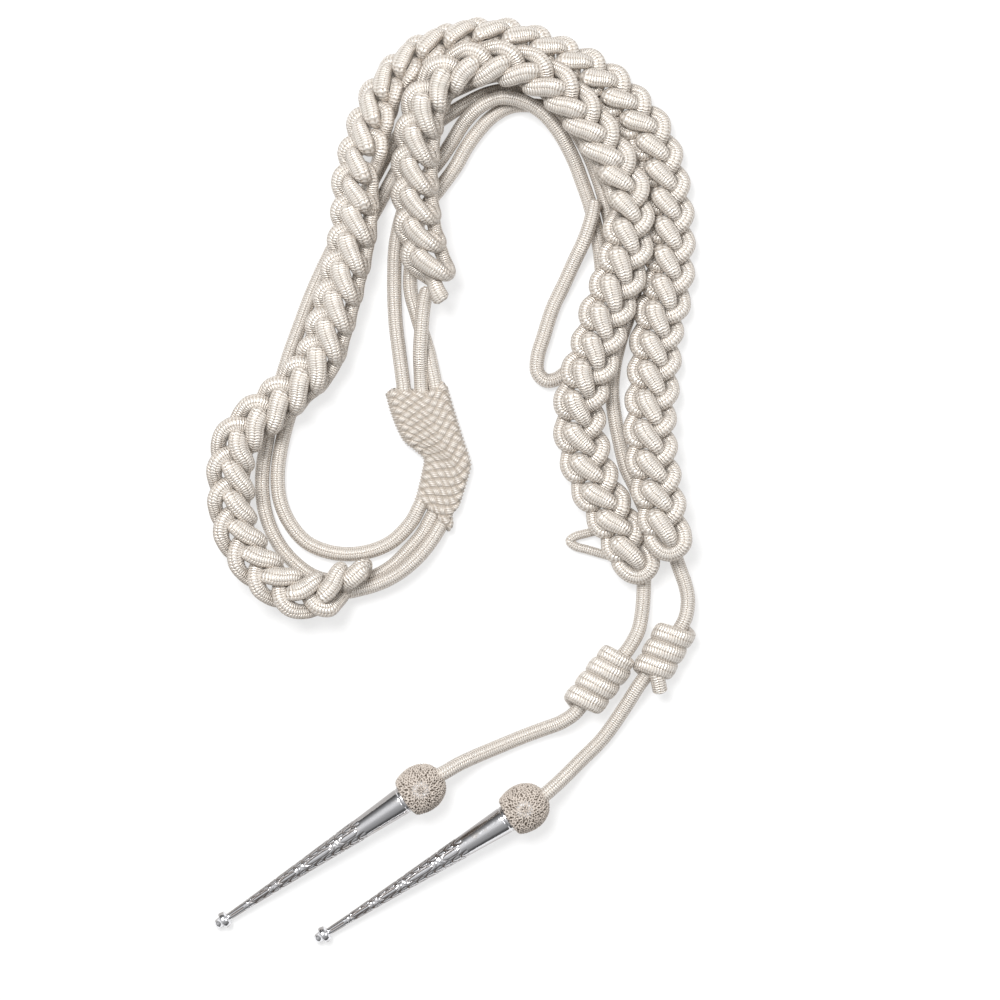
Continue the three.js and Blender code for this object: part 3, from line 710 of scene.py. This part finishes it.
# x, y, height in cord diameters, tilt of the bars in degrees, share of the width
outer_plait_run = np.array([
    (-43.9, -40.4, 1.0, -5, 0.95), (-51.5, -44.9, 1.0, -10, 0.95), (-59.5, -47, 1.1, -15, 1),
    (-68, -46, 1.1, -20, 1), (-80, -38, 0.89, -25, 1), (-88, -28, 0.73, -25, 1),
    (-93, -16.5, 0.65, -25, 1), (-94, -3, 0.81, -20, 1),
    (-93, 14, 1.1, -15, 1), (-87, 23, 1.1, -10, 1), (-77, 31, 1.1, 0, 1),
    (-67.5, 40, 1.1, 0, 1), (-57.5, 51, 1.1, 10, 1), (-50.5, 72, 1.1, 15, 1),
    (-47, 85.5, 1.1, 15, 1), (-43, 102, 1.1, 15, 1), (-41.5, 115, 1.1, 15, 1),
    (-41, 130, 1.1, 20, 1), (-38.5, 144.5, 0.65, 25, 1), (-34.5, 158, 0.16, 35, 1),
    (-30.5, 167.5, 0, 40, 0.95), (-22.5, 177, 0, 42, 0.9), (-14, 183.5, 0, 42, 0.88),
    (-4.5, 187.5, 0, 45, 0.9), (4.5, 190, 0, 45, 0.9), (13.5, 190.5, 0, 40, 0.9),
    (24.5, 189.5, 0, 35, 0.9), (35.5, 186, 0, 30, 0.9), (45.5, 181.5, 0, 25, 0.9),
    (57.5, 175, 0, 15, 0.94), (67, 168, 0, 5, 0.94), (75.5, 159, 0, 0, 0.96),
    (83, 149.5, 0, 0, 0.96), (87.5, 138, 0, 0, 0.96), (90.5, 124.5, 0, 0, 0.96),
    (92, 110.5, 0, 0, 0.96), (92, 96, 0, 0, 0.96), (91, 82, 0, 0, 1),
    (87.5, 69, 0, 0, 1), (86, 54, 0, 0, 1), (85, 41, 0.16, 0, 1),
    (83.5, 25.5, 0.81, 0, 1), (84, 14, 1.1, 0, 1), (85.5, 2.5, 1.1, 0, 1),
    (87.5, -7.5, 1.19, 0, 0.95), (90, -21.5, 1.35, 0, 0.92), (90.8, -35.5, 1.35, 0, 0.9),
])
inner_plait_run = np.array([
    (-7.5, 85, 1.1, 20, 0.95), (-11, 95, 1.1, 25, 1), (-14, 105, 1.1, 25, 1),
    (-16, 121.5, 1.1, 25, 1), (-16, 135.5, 1.21, 25, 1), (-13.8, 152, 1.77, 20, 0.98),
    (-11, 161, 2.13, 10, 0.96), (-6.5, 168, 2.16, 0, 0.94), (1, 174, 1.94, -10, 0.92),
    (14, 176.5, 1.94, -20, 0.92), (26.5, 175.5, 1.94, -20, 0.92), (38.5, 170, 1.85, -20, 0.92),
    (47.5, 162.5, 1.69, -20, 0.92), (55.5, 153, 1.53, -15, 0.94), (62.5, 143, 1.29, -10, 0.96),
    (68.5, 132.5, 1.29, 0, 0.96), (73, 121.5, 1.29, 0, 0.96), (74.5, 109, 1.29, 0, 0.96),
    (72.5, 94.5, 1.21, 0, 1), (67.5, 79, 1.13, 0, 1), (63.5, 68, 1.1, 0, 1),
    (60, 54, 1.1, 0, 1), (55.5, 42.5, 1.1, 0, 1), (53.5, 27, 0.32, 0, 1),
    (55.5, 14, 0, 0, 1), (59, 2.5, 0, 0, 1), (65, -9.5, 0.1, 0, 0.95),
    (76, -31, 0.26, 0, 0.92), (78.8, -45.5, 0.26, 0, 0.9),
])


def plait(name, run, start_rows, leaning, node_name):
    """One plaited cord along a run of its middle line; leaning counts its leaning stitches."""
    middle, spots, length = smooth_line(run[:, :2] + shift[:2], 0.5)
    reach = np.linspace(0, length, len(middle))
    facing = unit(np.gradient(middle, axis=0))
    count = round(length / stitch_pitch)
    pitch = length / count
    table = [(-1, row) for row in start_rows]
    table += [(stitch, row) for stitch in range(leaning) for row in leaning_rows]
    table += [(stitch, row) for stitch in range(leaning, count - 3) for row in stitch_rows]
    table += [(count - 3, row) for row in stitch_rows[:11] + last_loop_rows + stitch_rows[19:]]
    table += [(count - 2, row) for row in last_bar_rows]
    places = []
    pressed = []
    for stitch, row in table:
        places.append(((stitch + row[0]) * pitch, row[1] * loop_half_width, row[2] * layer_height))
        pressed.append(np.array(row[3]) * (1 if stitch % 2 else -1))
    pressed = np.array(pressed)
    sizes = np.array([row[4:] for stitch, row in table])
    local, spot, _ = smooth_line(places, ring_spacing)

    def column(values):
        return np.interp(spot, np.arange(len(values)), values)

    def along_run(values):
        at_places = np.interp(spots, np.arange(len(run)), values)
        return np.interp(np.clip(local[:, 0], 0, length), reach, at_places)

    tilt = np.radians(along_run(run[:, 3]))
    depths = (deepest_rows[:, 0][:, None] * loop_half_width * np.sin(tilt)
              - deepest_rows[:, 1][:, None] * layer_height * np.cos(tilt))
    rest = depths.max(axis=0) + pressed_thickness / 2
    rest = rest + along_run(run[:, 2]) * cord_thickness * 1000
    on_line = np.clip(local[:, 0], 0, length)

    def on_middle(values):
        flat = [np.interp(on_line, reach, values[:, k]) for k in range(2)]
        return np.stack(flat + [np.zeros(len(local))], 1)

    spine = on_middle(middle)
    forward = unit(on_middle(facing))
    upward = np.array([0, 0, 1.0])
    outward = np.cross(upward, forward)
    over = outward * np.cos(tilt)[:, None] - upward * np.sin(tilt)[:, None]
    top = outward * np.sin(tilt)[:, None] + upward * np.cos(tilt)[:, None]
    line = (spine + forward * (local[:, 0] - on_line)[:, None]
            + over * (local[:, 1] * along_run(run[:, 4]))[:, None]
            + top * local[:, 2][:, None] + upward * rest[:, None])
    press = np.stack([column(pressed[:, k]) for k in range(3)], 1)
    sides = forward * press[:, :1] + over * press[:, 1:2] + top * press[:, 2:]
    piece = cord_piece(name, line / 1000, sides, column(sizes[:, 0]) / 1000,
                       column(sizes[:, 1]) / 1000, silver_cord)
    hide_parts(node_name)
    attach(piece, "root")
    return piece


plait("plait_outer_cord", outer_plait_run, outer_start_rows, 17, "plait_outer")
plait("plait_inner_cord", inner_plait_run, inner_start_rows, 14, "plait_inner")


# The button loops. The larger one is a bight of the plain cord in the right arm loop, and the
# smaller one is a thin doubled cord beside the short plait's end. Each takes a uniform button.
side_loop_route = metres([
    (60, 121, 9.8), (58.6, 113.5, 9.8), (55.5, 104, 8.8), (51.5, 95.5, 5.5), (46.5, 84.5, 3.4),
    (42, 75, 3.3), (38, 62.5, 3.3), (35.5, 54, 3.3), (35.5, 47.5, 3.3), (39, 44, 3.3),
    (43.5, 44.5, 3.3), (48, 47.5, 3.3), (54, 50, 3.3), (58, 52, 3.3),
])
small_loop_route = metres([
    (64.5, -20.2, 2), (60.5, -20.7, 2), (55.9, -21.8, 2), (51.6, -23.0, 2), (49.3, -24.9, 2),
    (51.6, -27.1, 2), (56.8, -28.6, 2), (62.5, -30.3, 2), (67, -31.5, 2),
])
plain_cord("side_button_loop_knit", side_loop_route, "side_button_loop")
plain_cord("small_button_loop_knit", small_loop_route, "small_button_loop", thickness=0.0038)


# The metal points. Each is a hollow tapered ferrule of bright plated brass, chased with panels,
# cross bands and scallops, with a flared collar and a ball at its tip.
point_length = 0.099
point_radius = 0.0059
collar_start = 0.0925
collar_length = 0.0028
collar_radius = 0.0036
ball_radius = 0.0022
point_profile = [(0, 0.96), (0.0006, 1.0), (0.0014, 1.0), (0.0019, 0.95), (0.0024, 0.99),
                 (0.0035, 0.985), (0.0218, 0.8), (0.0495, 0.56), (0.0772, 0.34), (0.0915, 0.263)]
wide_end_height = 0.01024
fall = 0.0711
chasing_depth = 0.00034
point_sides = 84
point_ring_spacing = 0.00036
# the chased forms, in millimetres along the point and degrees round it
panel_spans = ((24.5, 33.5), (38, 51.5), (56, 65.5), (70, 80.5))
band_spans = ((34, 37.5), (52, 55.5), (66, 69.5), (81, 83.5))
scallop_span = (22, 80)
flute_span = (84, 91)
scallop_length = 4.4
sector_angle = 45


def pick(piece):
    """Makes the piece the only selected object and the active one."""
    bpy.ops.object.select_all(action="DESELECT")
    piece.select_set(True)
    bpy.context.view_layer.objects.active = piece


def lathe(name, profile, steps):
    """Spins a profile of (along, radius) rows round the Y axis and closes its two ends."""
    mesh = bpy.data.meshes.new(name)
    rows = [(0, profile[0][0], 0)] + [(radius, along, 0) for along, radius in profile]
    rows.append((0, profile[-1][0], 0))
    mesh.from_pydata(rows, [(k, k + 1) for k in range(len(rows) - 1)], [])
    piece = placed(name, mesh)
    pick(piece)
    bpy.ops.object.mode_set(mode="EDIT")
    bpy.ops.mesh.select_all(action="SELECT")
    bpy.ops.mesh.spin(steps=steps, angle=2 * math.pi, center=(0, 0, 0), axis=(0, 1, 0))
    bpy.ops.mesh.select_all(action="SELECT")
    bpy.ops.mesh.remove_doubles(threshold=0.000002)
    bpy.ops.mesh.normals_make_consistent(inside=False)
    bpy.ops.object.mode_set(mode="OBJECT")
    return piece


def groove(distance, width):
    return -np.exp(-(distance / width) ** 2)


def chased(places):
    """Depth of the chasing, from -1 in its grooves to 1 on its raised forms."""
    along = places[:, 1] * 1000
    turn = np.degrees(np.arctan2(places[:, 0], places[:, 2]))
    radius = np.maximum(np.hypot(places[:, 0], places[:, 2]) * 1000, 1)
    sector = (turn - 4 + sector_angle / 2) / sector_angle
    number = np.floor(sector).astype(int) % (360 // sector_angle)
    side = (sector % 1 - 0.5) * 2
    off = side * np.radians(sector_angle / 2) * radius
    panel = number % 2 == 0
    depth = np.zeros(len(places))
    for start, end in panel_spans:
        place = (along - (start + end) / 2) / ((end - start) / 2)
        frame_side = 0.78 * np.clip(1 - np.abs(place) ** 5, 0, 1)
        inside = (np.abs(place) < 1) & panel
        rim = groove((np.abs(side) - frame_side) * 0.4 * radius, 0.22)
        lines = 0.5 * np.cos(off * 2 * np.pi / 0.9) * (np.abs(side) < frame_side - 0.2)
        field = np.where(rim > -0.25, 0.35 + 0.35 * lines, 0)
        depth = np.where(inside, np.minimum(rim, 0) + field, depth)
    for start, end in band_spans:
        place = ((along - start) / (end - start) - 0.5) * 2
        cross = np.minimum(np.abs(side - place), np.abs(side + place)) * 0.4 * radius
        inside = np.abs(place) < 1
        edge = groove((np.abs(place) - 0.95) * (end - start) / 2, 0.3)
        band = np.minimum(groove(cross, 0.22), edge) + 0.45
        depth = np.where(inside, band, depth)
    first, last = scallop_span
    place = ((along - first) / scallop_length) % 1
    arc = np.sqrt((side / 0.88) ** 2 + ((place - 0.12) / 0.84) ** 2)
    scallop = groove((arc - 0.92) * 0.4 * radius, 0.24) + 0.8 * np.clip(1 - (arc / 0.8) ** 2, 0, 1)
    depth = np.where(~panel & (along > first) & (along < last), scallop, depth)
    flutes = -0.9 * np.clip(np.cos(np.radians(turn * 6)), 0, 1)
    return depth + np.where((along > flute_span[0]) & (along < flute_span[1]), flutes, 0)


def chased_material():
    """Bright plated brass: mirror on the raised forms, dark in the chasing, warm where worn."""
    material, tree, node = blank_material("chased_metal")
    depth = node("MULTIPLY", stored(tree, "relief"), -1)
    tarnish = node("MINIMUM", node("MAXIMUM", node("MULTIPLY_ADD", depth, 1.6, -0.25), 0), 1)
    cloud = node("MULTIPLY_ADD", noise(tree, 130, 4), 5, -2.9)
    warm = node("MULTIPLY", node("MINIMUM", node("MAXIMUM", cloud, 0), 1), 0.5)
    metal = mixed(tree, warm, (0.84, 0.84, 0.865, 1), (0.54, 0.40, 0.26, 1))
    colour = mixed(tree, tarnish, metal, (0.20, 0.165, 0.145, 1))
    # Painted shade: the point's two flanks are darkened towards a dull grey.
    flank_shaded = mixed(tree, stored(tree, "painted_flank_shade"), colour, (0.30, 0.275, 0.26, 1))
    fine = noise(tree, 900)
    rough = node("MULTIPLY_ADD", tarnish, 0.3, node("MULTIPLY_ADD", fine, 0.12, 0.08))
    set_shader(tree, flank_shaded, rough, 1.0)
    raise_surface(tree, fine, 0.25, 0.0001)
    return material


chased_metal = chased_material()


def point_rows():
    """The point's profile in fine even steps, then its collar and its ball."""
    alongs, shares = zip(*point_profile)
    even = np.arange(0, alongs[-1], point_ring_spacing)
    fine = np.unique(np.append(even, alongs))
    rows = [(along, np.interp(along, alongs, shares) * point_radius) for along in fine]
    rows += [(collar_start + share * collar_length, span * collar_radius)
             for share, span in ((-0.1, 0.44), (0, 0.6), (0.04, 0.8), (0.14, 0.9), (0.7, 1),
                                 (0.9, 0.99), (1, 0.93), (1, 0.9), (1, 0.7), (1, 0.64))]
    ball_middle = point_length - ball_radius
    for turn in np.linspace(0.3, math.pi / 2 * 0.96, 12):
        rows.append((ball_middle + math.sin(turn) * ball_radius, math.cos(turn) * ball_radius))
    return rows


def chased_point():
    piece = lathe("point_blank", point_rows(), point_sides)
    places = vertex_values(piece.data, "co")
    depth = chased(places)
    thick = np.clip(np.hypot(places[:, 0], places[:, 2]) / point_radius, 0.35, 1)
    raise_mesh(piece.data, depth, depth * thick * chasing_depth)
    cover(piece.data, chased_metal)
    return piece


def fitting_place(wide_end, tip):
    """Where a point lies: its Y axis runs from its wide end to its tip, falling to the board."""
    start = metres([(*wide_end, 0)])[0]
    run = metres([(*tip, 0)])[0] - start
    run = run / np.linalg.norm(run)
    steep = math.atan(fall)
    forward = Vector((run[0] * math.cos(steep), run[1] * math.cos(steep), -math.sin(steep)))
    side = forward.cross(Vector((0, 0, 1))).normalized()
    place = Matrix((side, forward, side.cross(forward))).transposed().to_4x4()
    place.translation = Vector((start[0], start[1], wide_end_height))
    return place


point_blank = chased_point()
# each point's wide end and tip
fittings = {
    "outer": ((23.2, -142.8), (-60.5, -196.5)),
    "inner": ((-20.8, -134.7), (-102, -189.5)),
}
for side_name, ends in fittings.items():
    pick(point_blank)
    bpy.ops.object.duplicate()
    point = bpy.context.object
    point.name = point.data.name = f"point_{side_name}_chased"
    point.data.transform(fitting_place(*ends))
    point.data.update()
    # Painted shade: the point's surface is marked for darkening where it turns far to its left or
    # right side.
    leaning_left = vertex_values(point.data, "normal") @ np.array(left_of_points)
    left_flank_shade = np.clip((leaning_left - 0.5) / 0.25, 0, 1)
    right_flank_shade = np.clip((-leaning_left - 0.72) / 0.2, 0, 1)
    keep_values(point.data, "painted_flank_shade", (left_flank_shade + right_flank_shade) * 0.82)
    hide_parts(f"point_{side_name}")
    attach(point, "root")
bpy.data.objects.remove(point_blank)


# The crocheted caps. Each is a round cover of pale cord thread, crocheted in rounds over the wide
# end of its point and drawn in where the tail comes out.
cap_radius = 0.0101
cap_height = 0.0178
cap_foot = -0.0179
cap_rows = [(0.0, 0.30), (0.02, 0.42), (0.07, 0.58), (0.16, 0.75), (0.30, 0.90), (0.45, 0.98),
            (0.56, 1.0), (0.70, 0.985), (0.82, 0.94), (0.91, 0.89), (0.97, 0.84), (1.0, 0.76)]
cap_sides = 230
cap_ring_spacing = 0.00022
crochet_height = 1.6
crochet_width = 1.8
crochet_depth = 0.0009


def crochet_relief(offsets, seed):
    """Height of crochet worked in rounds about the top: V stitches with small holes between."""
    reach = np.linalg.norm(offsets, axis=1)
    polar = np.arccos(np.clip(offsets[:, 2] / reach, -1, 1))
    polar = np.minimum(polar, np.pi - polar)
    turn = np.arctan2(offsets[:, 1], offsets[:, 0]) / (2 * np.pi)
    radius = cap_radius * 1000
    rounds = polar * radius / crochet_height
    number = np.floor(rounds)
    round_length = 2 * np.pi * np.sin((number + 0.6) * crochet_height / radius) * radius
    around = np.maximum(np.round(round_length / crochet_width), 5)
    shake = np.random.default_rng(seed).uniform(-1, 1, (40, 80, 2))
    place = turn * around + number * 0.37
    cell = shake[number.astype(int) % 40, np.floor(place).astype(int) % 80]
    x = (place % 1 - 0.5) * crochet_width + cell[:, 0] * 0.32
    y = (rounds % 1 - 0.5) * crochet_height + cell[:, 1] * 0.28
    height = np.zeros(len(offsets))
    for lean in (-1, 1):
        for shift_up in (-crochet_height, 0, crochet_height):
            gone = y + shift_up
            line = lean * (0.08 + 0.34 * (gone / crochet_height + 0.5)) * crochet_width
            share = np.abs(x - line) * 0.88 / (0.36 + cell[:, 0] * 0.08)
            long = np.clip(1 - (gone / (crochet_height * 0.62)) ** 4, 0, 1)
            height = np.maximum(height, np.sqrt(np.clip(1 - share ** 2, 0, 1)) * long)
    return height


def crocheted_material():
    """Pale knitting thread: light on the stitches, painted shade in the holes, painted glints about
    the top.
    """
    material, tree, node = blank_material("crocheted_cord")
    painted_glints = stored(tree, "painted_glint")
    fuzz = noise(tree, 1500, 3)
    # Painted shade: where the relief is low, in the holes between the stitches, the thread is
    # darkened.
    raw_hollow_shade = node("MULTIPLY_ADD", stored(tree, "relief"), -1.5, 1.25)
    hollow_shade = node("MINIMUM", node("MAXIMUM", raw_hollow_shade, 0), 1)
    fuzzy = node("MULTIPLY", fuzz, 0.6)
    pale = mixed(tree, fuzzy, (0.66, 0.59, 0.53, 1), (0.46, 0.40, 0.34, 1))
    thread = mixed(tree, hollow_shade, pale, (0.10, 0.075, 0.055, 1))
    # Painted highlight: the glints are mixed towards near-white.
    colour = mixed(tree, painted_glints, thread, (0.95, 0.95, 0.96, 1))
    set_shader(tree, colour, node("MULTIPLY_ADD", painted_glints, -0.5, 0.75))
    raise_surface(tree, fuzz, 0.5, 0.0002)
    return material


crocheted_cord = crocheted_material()
cap_curve, _, _ = smooth_line([(share * cap_height + cap_foot, span * cap_radius)
                               for share, span in cap_rows], cap_ring_spacing)
for seed, (side_name, ends) in enumerate(fittings.items()):
    cap = lathe(f"cap_{side_name}_crochet", cap_curve.tolist(), cap_sides)
    lying = fitting_place(*ends)
    cap.data.transform(lying)
    cap.data.update()
    centre = np.array(lying @ Vector((0, cap_foot + 0.56 * cap_height, 0)))
    offsets = vertex_values(cap.data, "co") - centre
    relief = crochet_relief(offsets, seed)
    raise_mesh(cap.data, relief, (relief - 0.7) * crochet_depth, sole_height)
    # Painted glints: near-white spots in the holes, in a ring at about 15 degrees from the top.
    slope = np.degrees(np.arccos(offsets[:, 2] / np.linalg.norm(offsets, axis=1)))
    painted_glint = np.clip(1 - np.abs(slope - 15) / 9, 0, 1) * np.clip(1.2 - relief * 2.2, 0, 1)
    keep_values(cap.data, "painted_glint", painted_glint)
    cover(cap.data, crocheted_cord)
    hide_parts(f"cap_{side_name}")
    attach(cap, "root")


# The tails and their barrel knots. Each plait's cord goes on as a plain tail. It is wrapped over
# three times round itself as a barrel knot, and ends in the crocheted cap of its metal point.
knot_height = 7.8
wrap_radius = 0.0051
wrap_pitch = 0.0076
wrap_width = 0.0079
wrap_depth = 0.0050
wrap_fullness = 0.72
wrap_flattening = 0.0012
end_width = 0.0064
end_depth = 0.0058
# what the turn after the third loses: along the knot, out to its sides, in height and in width
spare_slip = 0.0024
spare_inset = 0.0016
spare_drop = 0.0012
spare_narrowing = 0.0026
outer_tail_route = metres([
    (93.2, -23.5, 6.6), (94.2, -30.5, 6.2), (96.4, -37, 5.4), (98.7, -43.5, 5.4),
    (99.8, -50, 6.4), (98.8, -57.2, knot_height), (96.2, -62.5, knot_height),
    (88.8, -72.7, knot_height), (81.4, -82.9, knot_height), (78.5, -86.9, knot_height),
    (72, -97.5, 4.6), (63.5, -109.5), (53.5, -119.5, 4.6), (45.5, -127, 9), (40.5, -131.3, 11.4),
    (35.8, -135.2, 11.6),
])
inner_tail_route = metres([
    (81.2, -39.2, 3.4), (81, -46, 3.6), (80.3, -55, 4.6), (78.4, -63.5, 7),
    (74.2, -71, knot_height), (70.4, -75.6, knot_height), (62.4, -85.2, knot_height),
    (54.4, -94.8, knot_height), (51.2, -98.6, knot_height), (45.5, -102.5, 6.2),
    (38, -105.5, 3.8), (30, -108.5, 3.3), (21.5, -112, 3.3), (8, -117.5, 5.4), (1.5, -120.3, 9),
    (-4, -123.3, 11.4), (-8.8, -125.9, 11.6),
])


def barrel_knot(name, middle, towards, node_name, extra_turns=0.0):
    """Wraps of cord round a straight stretch of the tail, pressed flat, their ends tucked under."""
    centre = metres([(*middle, knot_height)])[0]
    axis = unit(metres([(*towards, knot_height)]) - centre)[0]
    level = np.cross((0, 0, 1), axis)
    upward = np.array([0, 0, 1.0])
    turns = np.linspace(-1.5, 1.5 + extra_turns, 260)
    spare = np.clip(turns - 1.5, 0, 1)[:, None]
    angle = (2 * np.pi * turns + np.pi / 2)[:, None]
    line = (centre + axis * (turns * wrap_pitch)[:, None] - axis * spare * spare_slip
            + level * np.cos(angle) * (wrap_radius + wrap_flattening - spare_inset * spare)
            + upward * np.sin(angle) * (wrap_radius - spare_drop * spare))
    sides = level * np.cos(angle) + upward * np.sin(angle)
    widths = wrap_width - spare_narrowing * spare[:, 0]
    piece = cord_piece(name, line, sides, widths, wrap_depth, silver_cord, wrap_fullness)
    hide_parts(node_name)
    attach(piece, "root")
    return piece


knot_outer = barrel_knot("knot_outer_wraps", (89.6, -71.8), (95.6, -61.4), "knot_outer")
knot_inner = barrel_knot("knot_inner_wraps", (61.0, -86.4), (68.8, -76.2), "knot_inner", 0.72)
knot_end_route = metres([(85.4, -78.5, 10.8), (86.2, -82, 11.2), (87.2, -86.2, 10.4),
                         (87.9, -89.6, 9.2)])
end_line, _, _ = smooth_line(knot_end_route, 0.0005)
knot_end = cord_piece("knot_outer_end", end_line, carried_sides(end_line), end_width, end_depth,
                      silver_cord)
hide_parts("knot_outer")
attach(knot_end, "root")

plain_cord("tail_outer_knit", outer_tail_route, "tail_outer")
plain_cord("tail_inner_knit", inner_tail_route, "tail_inner")
